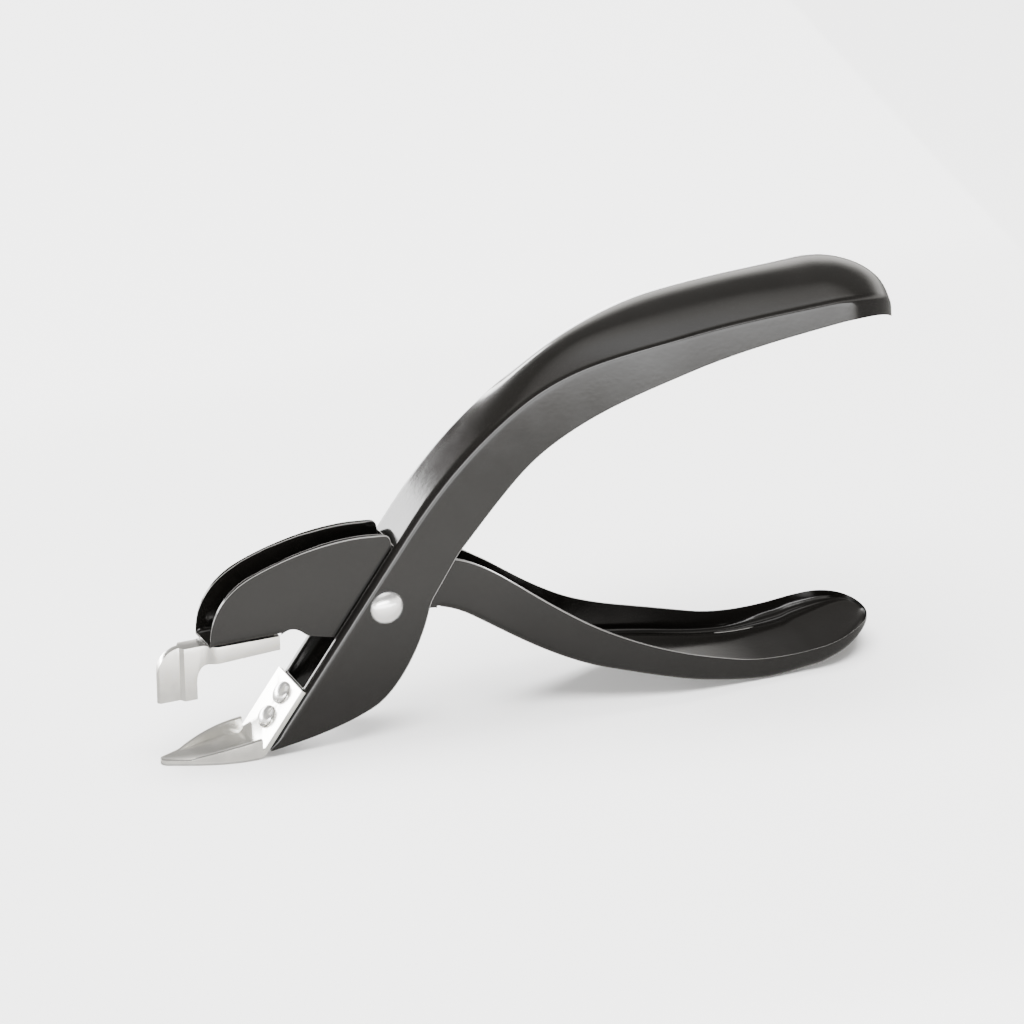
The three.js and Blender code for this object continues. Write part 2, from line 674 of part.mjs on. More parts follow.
TONGUE_RIVETS.forEach((along, i) => {
  const rivet = rivetGeometry({
    head: TONGUE_RIVET_RADIUS, rise: TONGUE_RIVET_RISE, shank: RIVET_SHANK,
    grip: TONGUE_SHEET + FRAME_WALL + 3 * GAP,
    foot: TONGUE_RIVET_FOOT, footRise: TONGUE_RIVET_FOOT_RISE,
  });
  placeOnSlope(rivet, along, WEB_OFFSET + TONGUE_SHEET + 2 * GAP);
  addPiece(`tongue_rivet_${i ? 'lower' : 'upper'}`, rivet, rivetSteel());
});

PRESSER_RIVETS.forEach((x, i) => {
  const floorTop = JAW_FLOOR + LEVER_WALL;
  const rivet = rivetGeometry({
    head: PRESSER_RIVET_RADIUS, rise: PRESSER_RIVET_RISE, shank: RIVET_SHANK,
    grip: floorTop - PRESSER_TOP + PRESSER_SHEET + 2 * GAP,
    foot: PRESSER_RIVET_FOOT, footRise: PRESSER_RIVET_FOOT_RISE,
  });
  rivet.rotateX(Math.PI / 2);
  rivet.translate(x, 0, floorTop + GAP);
  addPiece(`presser_rivet_${i ? 'rear' : 'front'}`, rivet, rivetSteel());
});

export default tool;
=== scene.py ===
import json
import math
import bpy
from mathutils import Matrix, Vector


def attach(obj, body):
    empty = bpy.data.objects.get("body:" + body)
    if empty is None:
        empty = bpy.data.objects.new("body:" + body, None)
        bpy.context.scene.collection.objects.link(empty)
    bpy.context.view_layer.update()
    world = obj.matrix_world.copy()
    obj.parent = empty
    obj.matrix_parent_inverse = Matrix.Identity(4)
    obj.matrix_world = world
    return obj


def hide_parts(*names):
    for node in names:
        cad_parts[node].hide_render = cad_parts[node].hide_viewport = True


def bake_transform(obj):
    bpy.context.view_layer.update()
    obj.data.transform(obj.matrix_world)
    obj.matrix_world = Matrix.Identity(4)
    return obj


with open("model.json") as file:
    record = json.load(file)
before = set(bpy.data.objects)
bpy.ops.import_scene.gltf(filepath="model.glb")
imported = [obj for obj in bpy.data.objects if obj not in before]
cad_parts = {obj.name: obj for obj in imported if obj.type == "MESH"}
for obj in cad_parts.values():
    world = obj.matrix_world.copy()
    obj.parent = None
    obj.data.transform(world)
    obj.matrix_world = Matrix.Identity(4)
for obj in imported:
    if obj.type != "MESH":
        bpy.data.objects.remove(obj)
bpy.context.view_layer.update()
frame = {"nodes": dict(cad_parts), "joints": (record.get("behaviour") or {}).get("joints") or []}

# --- Floor, studio light and camera ------------------------------------------
# The tool stands on a pale sheet in a bright, softly lit booth. A dark band
# above the horizon is what glossy black paint needs to show its form.
MM = 0.001
PIVOT_X, _, PIVOT_Z = frame["joints"][0]["pos_m"]
FLOOR_SIZE = 6
BOOTH_STRENGTH = 3.0
CARD_SIZE = 2
CARD_PLACE = (-0.81, 0, 0.0005)
CARD_STRENGTH = 9.0
CARD_FADE = 0.2                     # distance from the middle over which it brightens
WARM = (1.0, 0.975, 0.935)

bpy.ops.mesh.primitive_plane_add(size=FLOOR_SIZE)
floor = bpy.context.object
floor.name = "floor"
paper = bpy.data.materials.new("pale_paper")
paper.use_nodes = True
paper_shader = paper.node_tree.nodes["Principled BSDF"]
paper_shader.inputs["Base Color"].default_value = (0.93, 0.93, 0.93, 1)
paper_shader.inputs["Roughness"].default_value = 0.9
floor.data.materials.append(paper)
floor.visible_glossy = False


def fill_ramp(ramp, stops):
    """Replaces a colour ramp's two stops with warm white ones, each (place, level)."""
    for place, level in stops:
        stop = ramp.color_ramp.elements.new(place)
        stop.color = (*(level * part for part in WARM), 1)
    ramp.color_ramp.elements.remove(ramp.color_ramp.elements[0])
    ramp.color_ramp.elements.remove(ramp.color_ramp.elements[-1])


booth = bpy.data.worlds.new("booth")
bpy.context.scene.world = booth
booth.use_nodes = True
booth_nodes, booth_links = booth.node_tree.nodes, booth.node_tree.links
direction = booth_nodes.new("ShaderNodeTexCoord")
height = booth_nodes.new("ShaderNodeSeparateXYZ")
ramp = booth_nodes.new("ShaderNodeValToRGB")
half_way = booth_nodes.new("ShaderNodeMapRange")
half_way.inputs["From Min"].default_value = -1
booth_links.new(direction.outputs["Generated"], height.inputs[0])
booth_links.new(height.outputs["Z"], half_way.inputs["Value"])
booth_links.new(half_way.outputs["Result"], ramp.inputs["Fac"])
booth_links.new(ramp.outputs["Color"], booth_nodes["Background"].inputs["Color"])
booth_nodes["Background"].inputs["Strength"].default_value = BOOTH_STRENGTH
SKY = ((-1, 0.2), (-0.2, 0.2), (-0.04, 0.8), (0.15, 0.75), (0.28, 0.36), (0.42, 0.1),
       (0.76, 0.11), (0.9, 0.6), (1.0, 0.7))
fill_ramp(ramp, [((rise + 1) / 2, level) for rise, level in SKY])

# One reflector card lies on the sheet, brighter away from the tool's middle
# plane. Only glossy surfaces show it.
bpy.ops.mesh.primitive_plane_add(size=CARD_SIZE, location=CARD_PLACE)
card = bpy.context.object
card.name = "reflector_card"
glow = bpy.data.materials.new("card_glow")
glow.use_nodes = True
glow_nodes, glow_links = glow.node_tree.nodes, glow.node_tree.links
glow_nodes.remove(glow_nodes["Principled BSDF"])
shine = glow_nodes.new("ShaderNodeEmission")
shine.inputs["Strength"].default_value = CARD_STRENGTH
spot = glow_nodes.new("ShaderNodeTexCoord")
spot_parts = glow_nodes.new("ShaderNodeSeparateXYZ")
off_middle = glow_nodes.new("ShaderNodeMath")
off_middle.operation = "ABSOLUTE"
away = glow_nodes.new("ShaderNodeMapRange")
away.inputs["From Max"].default_value = CARD_FADE
fade = glow_nodes.new("ShaderNodeValToRGB")
fill_ramp(fade, ((0.0, 0.1), (0.16, 0.14), (0.4, 0.28), (0.75, 0.28), (0.9, 0.5), (1.0, 1.0)))
glow_links.new(spot.outputs["Object"], spot_parts.inputs[0])
glow_links.new(spot_parts.outputs["Y"], off_middle.inputs[0])
glow_links.new(off_middle.outputs[0], away.inputs["Value"])
glow_links.new(away.outputs["Result"], fade.inputs["Fac"])
glow_links.new(fade.outputs["Color"], shine.inputs["Color"])
glow_links.new(shine.outputs["Emission"], glow_nodes["Material Output"].inputs["Surface"])
card.data.materials.append(glow)
card.visible_camera = card.visible_diffuse = card.visible_shadow = False


def soft_light(name, place, aim, size, watts, is_mirrored=False):
    """An oval soft box. Glossy surfaces show it only when is_mirrored is set."""
    bpy.ops.object.light_add(type="AREA", location=place)
    light = bpy.context.object
    light.name = name
    light.data.shape = "ELLIPSE"
    light.data.size, light.data.size_y = size
    light.data.energy = watts
    light.rotation_mode = "QUATERNION"
    light.rotation_quaternion = (Vector(aim) - Vector(place)).to_track_quat("-Z", "Y")
    light.visible_glossy = is_mirrored
    light.visible_camera = False


soft_light("light_overhead", (0, 0, 1.2), (0, 0, 0), (1.4, 1.4), 65)
soft_light("strip_front", (-0.25, -1.0, 0.2), (0, 0, 0.05), (1.4, 0.2), 9, True)
soft_light("panel_behind", (-0.6, 1.0, 0.2), (0, 0, 0.05), (1.6, 0.26), 20, True)

camera = bpy.data.objects.new("camera", bpy.data.cameras.new("camera"))
bpy.context.scene.collection.objects.link(camera)
bpy.context.scene.camera = camera
camera.data.type = "ORTHO"
camera.data.ortho_scale = 0.2365
camera.data.clip_end = 20
CAMERA_REACH = 1.2
AIM = Vector((PIVOT_X + 0.03435, 0, 0.0471))
TOWARDS = Vector((-0.3070, -0.8551, 0.4177)).normalized()
UPRIGHT = Vector((0.1749, 0.3807, 0.9080))
camera.rotation_mode = "QUATERNION"
look = TOWARDS.to_track_quat("Z", "Y").to_matrix()
right = UPRIGHT.cross(TOWARDS).normalized()
for row in range(3):
    look[row][0] = right[row]
    look[row][1] = TOWARDS.cross(right)[row]
    look[row][2] = TOWARDS[row]
camera.rotation_quaternion = look.to_quaternion()
camera.location = AIM + TOWARDS * CAMERA_REACH


# --- Upper handle and lower jaw ----------------------------------------------
# One steel blank, pressed into a channel over a die: flat-backed at the jaw,
# wide with a rounded back at the handle, stoved with glossy black enamel.
FRAME_SHEET = 1.3
FRAME_HALF = 7.55
FRAME_HANDLE_HALF = 13.5
FRAME_BEND = 1.8
FRAME_CROWN = 3.2
FRAME_END = 113.5                   # where the round end begins
FRAME_END_RADIUS = 15
FRAME_REAR = 128.5
JAW_SLOPE = math.radians(53.5)
WEB_OFFSET = 5.8                    # web's outer face, off the pivot axis
SLOT_ALONG = (-26.2, 13.0)
SLOT_HALF = 5.35
SLOT_FLOOR = 4                      # the slot cuts only what is further out
EDGE_ROUND = 0.3
END_STEPS = 16
TRACK_STEPS = 60
SAME_PLACE = 1e-6
TINY = 1e-9


def on_slope(along, out):
    """A point given along the jaw's slope and square to it, from the pivot, in mm."""
    cosine, sine = math.cos(JAW_SLOPE), math.sin(JAW_SLOPE)
    return Vector((along * cosine - out * sine, PIVOT_Z / MM + along * sine + out * cosine))


def track(*pieces):
    """A line through straight pieces (2 points) and curves (4 points), closely spaced."""
    points = []
    for piece in pieces:
        corners = [Vector(p) for p in piece]
        for i in range(TRACK_STEPS + 1):
            t = i / TRACK_STEPS
            if len(corners) == 2:
                point = corners[0].lerp(corners[1], t)
            else:
                a, b, c, d = corners
                s = 1 - t
                point = a * s**3 + b * (3 * s * s * t) + c * (3 * s * t * t) + d * t**3
            if not points or (point - points[-1]).length > SAME_PLACE:
                points.append(point)
    return points


def walk(points, start, stop, count):
    """count + 1 even steps along a track, between the places nearest to start and stop."""
    first = min(range(len(points)), key=lambda i: (points[i] - Vector(start)).length)
    last = min(range(len(points)), key=lambda i: (points[i] - Vector(stop)).length)
    part = points[first:last + 1]
    reach = [0.0]
    for a, b in zip(part, part[1:]):
        reach.append(reach[-1] + (b - a).length)
    steps = []
    for i in range(count + 1):
        goal = reach[-1] * i / count
        k = max(j for j in range(len(reach)) if reach[j] <= goal + TINY)
        k = min(k, len(part) - 2)
        share = (goal - reach[k]) / max(reach[k + 1] - reach[k], TINY)
        steps.append(part[k].lerp(part[k + 1], min(max(share, 0), 1)))
    return steps


def height_at(points, x):
    """The z of a track where it passes x, looked up from its far end."""
    for a, b in zip(reversed(points[:-1]), reversed(points[1:])):
        if min(a.x, b.x) <= x <= max(a.x, b.x):
            return a.y + (b.y - a.y) * (x - a.x) / max(b.x - a.x, TINY)
    return points[-1].y


def ease(x, low, high):
    """0 below low, 1 above high, and a smooth rise between."""
    t = min(max((x - low) / (high - low), 0), 1)
    return t * t * (3 - 2 * t)


def end_half(x, half, end_start, end_radius):
    """Half the width of a handle's round end."""
    return half * math.sqrt(max(1 - ((x - end_start) / end_radius) ** 2, 0))


def stations(spine, edge, keys, end_start, end_radius):
    """Pairs of points, on the bend line and on the free edge, one pair per section."""
    soften, step_max = 0.02, 3
    pairs = []
    for (spine_from, edge_from, _), (spine_to, edge_to, count) in zip(keys, keys[1:]):
        backs = walk(spine, spine_from, spine_to, count)
        edges = walk(edge, edge_from, edge_to, count)
        pairs += list(zip(backs, edges))[1 if pairs else 0:]
    for i in range(1, END_STEPS + 1):
        turn = math.pi / 2 * i / END_STEPS
        left = math.pi / 2 - turn
        blunt = math.sqrt(left * left + soften) - math.sqrt(soften)
        x = end_start + end_radius * math.sin(turn)
        x_high = min(end_start + end_radius * math.cos(blunt), x + step_max)
        pairs.append((Vector((x, height_at(spine, x_high))), Vector((x, height_at(edge, x)))))
    return pairs


def press_channel(name, pairs, outward, half_at, bend_at, crown_at, end_start, web_rows,
                  is_open=lambda x: False):
    """Presses a flat blank into a channel: walls, bends and back, section by section."""
    wall_rows, bend_rows = 9, 7
    end_lean, thin, flat_half = 6, 0.01, 6
    rows = []
    for side in (-1, 1):
        part = [("wall", k / wall_rows) for k in range(wall_rows)]
        part += [("bend", k / bend_rows) for k in range(bend_rows)]
        part = [(kind, share, side) for kind, share in part]
        rows.append(part if side < 0 else part[::-1])
    profile = rows[0] + [("back", f, 0) for f in web_rows] + rows[1]
    bpy.ops.object.select_all(action="DESELECT")
    bpy.ops.mesh.primitive_grid_add(
        x_subdivisions=len(pairs) - 1, y_subdivisions=len(profile) - 1, size=1)
    blank = bpy.context.object
    blank.name = blank.data.name = name
    for vertex in blank.data.vertices:
        i = round((vertex.co.x + 0.5) * (len(pairs) - 1))
        j = round((vertex.co.y + 0.5) * (len(profile) - 1))
        back, edge = pairs[i]
        before, after = pairs[max(i - 1, 0)][0], pairs[min(i + 1, len(pairs) - 1)][0]
        along = (after - before).normalized()
        square = Vector((-along.y, along.x)) * outward
        if back.x > end_start:
            lean = ease(back.x, end_start, end_start + end_lean)
            square = square.lerp(Vector((0, outward)), lean).normalized()
        if is_open(back.x):
            square = Vector((0, outward))
        half = half_at(back.x)
        bend = min(bend_at(back.x), 0.6 * half + thin, max(0.5 * (back - edge).length, 0.05))
        crown = crown_at(back.x) * min(1, half / flat_half)
        lie = math.atan2(2 * crown, max(half - bend, thin))
        kind, share, side = profile[j]
        if kind == "back":
            inner = half - bend + bend * math.sin(lie)
            point = back + square * crown * (1 - share * share)
            y = share * inner
        elif kind == "bend":
            turn = math.pi / 2 + (lie - math.pi / 2) * share
            point = back + square * bend * (math.cos(turn) - math.cos(lie))
            y = side * (half - bend + bend * math.sin(turn))
            if is_open(back.x):
                y = side * half
            y += side * (half_at(point.x) - half) * (back.x <= end_start)
        else:
            foot = back - square * bend * math.cos(lie)
            point = edge.lerp(foot, share)
            y = side * half_at(point.x)
        vertex.co = (point.x * MM + PIVOT_X, y * MM, point.y * MM)
    if outward < 0:
        blank.data.flip_normals()
    return blank


def edit(piece, mode="VERT"):
    """Makes a piece the only one selected, with nothing in it selected."""
    bpy.ops.object.select_all(action="DESELECT")
    piece.select_set(True)
    bpy.context.view_layer.objects.active = piece
    bpy.ops.object.mode_set(mode="EDIT")
    bpy.ops.mesh.select_mode(type=mode)
    bpy.ops.mesh.select_all(action="DESELECT")
    bpy.ops.object.mode_set(mode="OBJECT")


def cut_out(piece, inside):
    """Deletes the faces whose centre, in mm from the pivot, lies inside."""
    edit(piece, "FACE")
    for face in piece.data.polygons:
        c = face.center
        face.select = inside((c.x - PIVOT_X) / MM, c.y / MM, c.z / MM)
    bpy.ops.object.mode_set(mode="EDIT")
    bpy.ops.mesh.delete(type="FACE")
    bpy.ops.object.mode_set(mode="OBJECT")


def give_sheet(piece, sheet):
    """Gives a pressed shell its thickness and deburred edges, and marks them in the rim
    attribute, which carries the enamel's painted highlight.
    """
    edit(piece)
    bpy.ops.object.mode_set(mode="EDIT")
    bpy.ops.mesh.select_all(action="SELECT")
    bpy.ops.mesh.remove_doubles(threshold=0.02 * MM)
    bpy.ops.object.mode_set(mode="OBJECT")
    wall = piece.modifiers.new("sheet", "SOLIDIFY")
    wall.thickness = sheet * MM
    wall.offset = -1
    wall.use_even_offset = True
    wall.thickness_clamp = 1.5
    burr = piece.modifiers.new("deburr", "BEVEL")
    burr.width = EDGE_ROUND * MM
    burr.segments = 2
    burr.limit_method = "ANGLE"
    burr.angle_limit = math.radians(50)
    burr.material = 1
    for _ in ("faces", "edges"):
        piece.data.materials.append(None)
    smooth = piece.modifiers.new("smooth", "SUBSURF")
    smooth.levels = smooth.render_levels = 1
    for modifier in ("sheet", "deburr", "smooth"):
        bpy.ops.object.modifier_apply(modifier=modifier)
    bpy.ops.object.shade_smooth()
    rim = piece.data.attributes.new("rim", "FLOAT", "POINT")
    for wanted in (1, 0):
        for face in piece.data.polygons:
            if face.material_index == wanted:
                for i in face.vertices:
                    rim.data[i].value = wanted
    for face in piece.data.polygons:
        face.material_index = 0
    piece.data.materials.clear()


frame_foot, frame_knee = on_slope(-42.4, WEB_OFFSET), on_slope(18, WEB_OFFSET)
frame_back = track(
    (frame_foot, frame_knee),
    (frame_knee, on_slope(71, WEB_OFFSET), (72, 91), (112, 92.4)),
    ((112, 92.4), (122.5, 92.4), (FRAME_REAR, 89.6), (FRAME_REAR, 80.6)))
frame_edge = track(
    ((-29.9, 1.6), (-22, 2.6), (-12, 4.2), (-4.5, 7.6)),
    ((-4.5, 7.6), (2, 10), (9, 22), (10.9, 31.6)),
    ((10.9, 31.6), (18.2, 42.8)),
    ((18.2, 42.8), (31, 57), (35, 62), (46, 68.7)),
    ((46, 68.7), (66, 81), (85, 83.4), (113, 86)),
    ((113, 86), (121, 86.2), (125.5, 84.5), (FRAME_REAR, 79.6)))
frame_keys = [
    (frame_foot, (-29.9, 1.6), 0),
    (on_slope(SLOT_ALONG[0], WEB_OFFSET), (-10.5, 5.0), 9),
    (on_slope(0, WEB_OFFSET), (9.5, 26.5), 16),
    (on_slope(SLOT_ALONG[1], WEB_OFFSET), (18.2, 42.8), 10),
    ((30, 74.6), (46, 68.7), 16),
    ((112, 92.4), (112.5, 86), 36)]


def frame_half(x):
    if x > FRAME_END:
        return end_half(x, FRAME_HANDLE_HALF, FRAME_END, FRAME_END_RADIUS)
    return FRAME_HALF + (FRAME_HANDLE_HALF - FRAME_HALF) * ease(x, 34, 74)


def frame_crown(x):
    return FRAME_CROWN * ease(x, 21, 54) * (1 - 0.25 * ease(x, 90, 124))


slot_share = SLOT_HALF / (FRAME_HALF - FRAME_BEND)
frame_rows = [-1, -slot_share] + [-0.78 + 1.56 * k / 12 for k in range(13)] + [slot_share, 1]
upper_handle = press_channel(
    "upper_handle_pressing",
    stations(frame_back, frame_edge, frame_keys, FRAME_END, FRAME_END_RADIUS),
    1, frame_half, lambda x: FRAME_BEND, frame_crown, FRAME_END, frame_rows)


def in_slot(x, y, z):
    """The opening in the web, which the lower handle passes through."""
    z -= PIVOT_Z / MM
    along = x * math.cos(JAW_SLOPE) + z * math.sin(JAW_SLOPE)
    out = z * math.cos(JAW_SLOPE) - x * math.sin(JAW_SLOPE)
    return SLOT_ALONG[0] < along < SLOT_ALONG[1] and abs(y) < SLOT_HALF and out > SLOT_FLOOR


cut_out(upper_handle, in_slot)
give_sheet(upper_handle, FRAME_SHEET)


def surface_group(name, colour, shade, roughness):
    """A node group with a base colour and roughness in, and a varied surface out."""
    group = bpy.data.node_groups.new(name, "ShaderNodeTree")
    face = group.interface
    base = face.new_socket(colour, in_out="INPUT", socket_type="NodeSocketColor")
    base.default_value = (*shade, 1)
    gloss = face.new_socket("Roughness", in_out="INPUT", socket_type="NodeSocketFloat")
    gloss.default_value = roughness
    for name, kind in (("Color", "Color"), ("Roughness", "Float"), ("Height", "Float")):
        face.new_socket(name, in_out="OUTPUT", socket_type="NodeSocket" + kind)
    nodes = group.nodes
    return group, nodes.new("NodeGroupInput"), nodes.new("NodeGroupOutput")


def noise(group, vector, scale, detail):
    node = group.nodes.new("ShaderNodeTexNoise")
    node.inputs["Scale"].default_value = scale
    node.inputs["Detail"].default_value = detail
    group.links.new(vector, node.inputs["Vector"])
    return node.outputs["Fac"]


def remap(group, value, low, high, out_low, out_high):
    node = group.nodes.new("ShaderNodeMapRange")
    group.links.new(value, node.inputs["Value"])
    for socket, number in zip(("From Min", "From Max", "To Min", "To Max"),
                              (low, high, out_low, out_high)):
        node.inputs[socket].default_value = number
    return node.outputs["Result"]


def tinted(group, colour, mask):
    """A colour multiplied by a mask."""
    node = group.nodes.new("ShaderNodeMix")
    node.data_type = "RGBA"
    node.blend_type = "MULTIPLY"
    node.inputs["Factor"].default_value = 1
    group.links.new(colour, node.inputs["A"])
    group.links.new(mask, node.inputs["B"])
    return node.outputs["Result"]


def enamel_surface():
    """Node group: the uneven gloss, faint mottle and fine dust of stoved black paint."""
    group, enter, leave = surface_group("enamel_surface", "Paint", (0.05, 0.05, 0.05), 0.25)
    nodes, links = group.nodes, group.links
    where = nodes.new("ShaderNodeTexCoord").outputs["Object"]
    mottle = remap(group, noise(group, where, 60, 3), 0.3, 0.7, 0.86, 1.12)
    specks = remap(group, noise(group, where, 2600, 1), 0.73, 0.8, 0, 1)
    cloud = remap(group, noise(group, where, 140, 4), 0.3, 0.7, -0.04, 0.05)
    ripple = remap(group, noise(group, where, 900, 2), 0.2, 0.8, 0, 1)
    dusty = nodes.new("ShaderNodeMix")
    dusty.data_type = "RGBA"
    links.new(specks, dusty.inputs["Factor"])
    links.new(tinted(group, enter.outputs["Paint"], mottle), dusty.inputs["A"])
    dusty.inputs["B"].default_value = (0.012, 0.012, 0.011, 1)
    links.new(dusty.outputs["Result"], leave.inputs["Color"])
    sum_up = nodes.new("ShaderNodeMath")
    sum_up.operation = "ADD"
    links.new(enter.outputs["Roughness"], sum_up.inputs[0])
    links.new(cloud, sum_up.inputs[1])
    links.new(sum_up.outputs[0], leave.inputs["Roughness"])
    links.new(ripple, leave.inputs["Height"])
    return group


ENAMEL = enamel_surface()


def black_enamel(name, paint, roughness, edge):
    """Black enamel, with a painted highlight: a lighter colour on the rounded cut edges, the
    faces marked as rim.
    """
    made = bpy.data.materials.new(name)
    made.use_nodes = True
    nodes, links = made.node_tree.nodes, made.node_tree.links
    shader = nodes["Principled BSDF"]
    coat = nodes.new("ShaderNodeGroup")
    coat.node_tree = ENAMEL
    coat.inputs["Paint"].default_value = (*paint, 1)
    coat.inputs["Roughness"].default_value = roughness
    painted_edge_highlight = nodes.new("ShaderNodeAttribute")
    painted_edge_highlight.attribute_name = "rim"
    sharpen = nodes.new("ShaderNodeMapRange")
    sharpen.inputs["From Min"].default_value = 0.2
    sharpen.inputs["From Max"].default_value = 0.9
    links.new(painted_edge_highlight.outputs["Fac"], sharpen.inputs["Value"])
    # The edge colour mixed in here is a painted highlight along the rounded cut edges.
    mix = nodes.new("ShaderNodeMix")
    mix.data_type = "RGBA"
    links.new(sharpen.outputs["Result"], mix.inputs["Factor"])
    links.new(coat.outputs["Color"], mix.inputs["A"])
    mix.inputs["B"].default_value = (*edge, 1)
    links.new(mix.outputs["Result"], shader.inputs["Base Color"])
    links.new(coat.outputs["Roughness"], shader.inputs["Roughness"])
    bump = nodes.new("ShaderNodeBump")
    bump.inputs["Strength"].default_value = 0.12
    bump.inputs["Distance"].default_value = 0.00005
    links.new(coat.outputs["Height"], bump.inputs["Height"])
    links.new(bump.outputs["Normal"], shader.inputs["Normal"])
    shader.inputs["Specular IOR Level"].default_value = 0.4
    return made


# The last colour is a painted highlight on the rounded cut edges of both handles.
handle_paint = black_enamel("handle_enamel", (0.0045, 0.0042, 0.0038), 0.13, (0.2, 0.195, 0.19))
upper_handle.data.materials.append(handle_paint)
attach(upper_handle, "frame")
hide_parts("upper_handle_frame")


# --- Lower handle and upper jaw ----------------------------------------------
# A second pressed channel, narrower at the jaw so that it passes through the
# slot, and open at the pivot, where its floor is cut away. Same enamel.
LEVER_SHEET = 1.2
LEVER_HALF = 4.85
LEVER_HANDLE_HALF = 14.75
LEVER_END = 104.5
LEVER_END_RADIUS = 15.1
LEVER_REAR = 119.6
JAW_FRONT = -42.6
NO_FLOOR = (-25.6, 14)              # x where the floor is cut away
CUT_HALF = 4.6
RELIEF_REACH = 0.35                 # relief notch, to either side of the cut's ends
RELIEF_HALF = 4.66
lever_floor = track(
    ((JAW_FRONT, 29), (-25.4, 29)),
    ((-25.4, 29), (-23, 31), (-21, 30.4), (-18.7, 27.8)),
    ((-18.7, 27.8), (-14, 26.9), (-8, 24.9), (-2, 24.8)),
    ((-2, 24.8), (6, 24.8), (8.5, 29.4), (11.5, 29.2)),
    ((11.5, 29.2), (15.5, 28.4), (19, 27.2), (23.3, 24)),
    ((23.3, 24), (31, 18.6), (41, 11), (53, 7.8)),
    ((53, 7.8), (66, 4.6), (80, 0.2), (92, 0)),
    ((92, 0), (112.5, 0), (116, 5.6), (LEVER_REAR, 6.2)))
lever_edge = track(
    ((JAW_FRONT, 29.5), (JAW_FRONT, 37), (-38.5, 42.6), (-31.5, 45.3)),
    ((-31.5, 45.3), (-22.5, 48.8), (-12.5, 50.6), (-4, 50.1)),
    ((-4, 50.1), (1.2, 49.6)),
    ((1.2, 49.6), (2.5, 49.3), (2.6, 48.6), (2.7, 45.4)),
    ((2.7, 45.4), (8, 43), (12, 42), (17.5, 40.4)),
    ((17.5, 40.4), (26.5, 37.8), (33, 30), (45.7, 21.6)),
    ((45.7, 21.6), (57, 13.8), (73, 9.2), (84, 6.2)),
    ((84, 6.2), (93, 4.2), (103, 5.2), (109.5, 6.4)),
    ((109.5, 6.4), (114, 7.4), (117.5, 7.6), (LEVER_REAR, 7)))
lever_keys = [
    ((JAW_FRONT, 29), (JAW_FRONT, 29.5), 0),
    ((-34, 29), (-31.5, 45.3), 12),
    ((-26.2, 29), (-25.2, 47.7), 6),
    ((-25.0, 29.3), (-24.0, 48.1), 1),
    ((-18.7, 27.8), (-16, 49.9), 6),
    ((-2, 24.8), (1.2, 49.6), 10),
    ((1, 25.2), (2.7, 45.4), 6),
    ((13.4, 28.8), (13.5, 41.6), 8),
    ((14.6, 28.5), (14.7, 41.2), 1),
    ((53, 7.8), (53, 17), 24),
    ((104.2, 1.9), (104.2, 5.4), 26)]


def lever_half(x):
    if x > LEVER_END:
        return end_half(x, LEVER_HANDLE_HALF, LEVER_END, LEVER_END_RADIUS)
    return LEVER_HALF + (LEVER_HANDLE_HALF - LEVER_HALF) * ease(x, 26, 76)


def lever_bend(x):
    return 1.4 + 1.6 * ease(x, 88, 108)


def has_no_floor(x):
    return NO_FLOOR[0] < x < NO_FLOOR[1]


def past_floor(x, y, z):
    """The floor is cut away between the jaw and the handle, with a relief at each bend."""
    relief = min(abs(x - NO_FLOOR[0]), abs(x - NO_FLOOR[1])) < RELIEF_REACH
    return (has_no_floor(x) or relief) and abs(y) < (RELIEF_HALF if relief else CUT_HALF)


lower_handle = press_channel(
    "lower_handle_pressing",
    stations(lever_floor, lever_edge, lever_keys, LEVER_END, LEVER_END_RADIUS),
    -1, lever_half, lever_bend, lambda x: 0, LEVER_END, [-1 + k / 6 for k in range(13)],
    has_no_floor)
cut_out(lower_handle, past_floor)
give_sheet(lower_handle, LEVER_SHEET)
lower_handle.data.materials.append(handle_paint)
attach(lower_handle, "lever")
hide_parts("lower_handle_lever")


# --- Tongue ------------------------------------------------------------------
# A strip of hardened steel, nickel plated: pointed and flat on the paper, its
# edges turned up as a trough, bent up at the heel and riveted to the lower jaw.
def deburred_copy(node, name, round_off):
    """A plain pressing with its edges rounded over by tumbling."""
    bpy.ops.object.select_all(action="DESELECT")
    piece = frame["nodes"][node].copy()
    piece.data = piece.data.copy()
    piece.name = piece.data.name = name
    piece.parent = None
    for key in list(piece.keys()):
        del piece[key]
    bpy.context.scene.collection.objects.link(piece)
    piece.data.materials.clear()
    edit(piece)
    bpy.ops.object.mode_set(mode="EDIT")
    bpy.ops.mesh.select_all(action="SELECT")
    bpy.ops.mesh.remove_doubles(threshold=0.002 * MM)
    bpy.ops.mesh.dissolve_limited(angle_limit=math.radians(0.5))
    bpy.ops.object.mode_set(mode="OBJECT")
    edges = piece.modifiers.new("tumbled", "BEVEL")
    edges.width = round_off * MM
    edges.segments = 3
    edges.limit_method = "ANGLE"
    edges.angle_limit = math.radians(28)
    bpy.ops.object.modifier_apply(modifier="tumbled")
    bpy.ops.object.shade_smooth_by_angle(angle=math.radians(30))
    return piece


